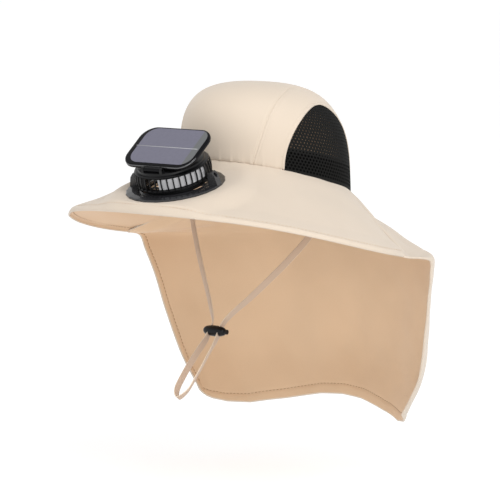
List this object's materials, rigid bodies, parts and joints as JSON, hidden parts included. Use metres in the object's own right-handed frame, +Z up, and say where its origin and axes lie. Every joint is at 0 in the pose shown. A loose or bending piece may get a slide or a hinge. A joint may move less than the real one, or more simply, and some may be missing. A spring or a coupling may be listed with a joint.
{
  "type": "sun hat",
  "caption": "Wide-brimmed sun hat with mesh crown vents, a neck flap, a chin strap with a cord lock, and a solar panel and fan on the brim.",
  "frame": {"origin": "centre of the head opening at the crown's base, where it sits on the head", "axes": "+Z up as worn, -Y the way the wearer faces, +X the wearer's left"},
  "size_m": [0.3908, 0.3672, 0.3712],
  "materials": {
    "sand_cloth": "matt",
    "black_net": "matt",
    "black_band": "matt",
    "black_plastic": "satin",
    "grey_plastic": "satin",
    "panel_cells": "polished",
    "strap_cord": "matt",
    "pin_steel": "satin"
  },
  "bodies": {
    "hat": {"crown_centre_panel": "sand_cloth", "crown_side_left": "sand_cloth", "crown_side_right": "sand_cloth", "mesh_vent_left": "black_net", "mesh_vent_right": "black_net", "sweatband": "black_band", "front_brim": "sand_cloth", "neck_flap": "sand_cloth", "fan_flange": "black_plastic", "clamp_ring": "black_plastic", "chin_strap": "strap_cord", "cord_lock": "black_plastic"},
    "fan_head": {"fan_cage": "black_plastic", "louvre_plate_left": "grey_plastic", "louvre_plate_right": "grey_plastic", "fan_motor": "grey_plastic", "hinge_pin": "pin_steel"},
    "rotor": {"fan_rotor": "black_plastic"},
    "solar_panel": {"panel_frame": "black_plastic", "solar_cells": "panel_cells"},
    "lock_button": {"cord_lock_button": "black_plastic"}
  },
  "joints": [
    {"name": "fan_tilt", "type": "hinge", "parent": "hat", "child": "fan_head", "pos_m": [0, -0.15836, 0.01404], "axis": [0.9803, 0.192, 0.0471], "range_deg": [-13, 2.5]},
    {"name": "rotor_spin", "type": "hinge", "parent": "fan_head", "child": "rotor", "pos_m": [0, -0.15908, 0.01695], "axis": [0, -0.3272, 0.9449], "continuous": true},
    {"name": "panel_tilt", "type": "hinge", "parent": "fan_head", "child": "solar_panel", "pos_m": [0, -0.19399, 0.02212], "axis": [1, 0, 0], "range_deg": [-18, 60]},
    {"name": "button_press", "type": "slide", "parent": "hat", "child": "lock_button", "axis": [-1, 0, 0], "range_m": [0, 0.002], "stiffness_N_per_m": 800, "springref_m": -0.002}
  ]
}
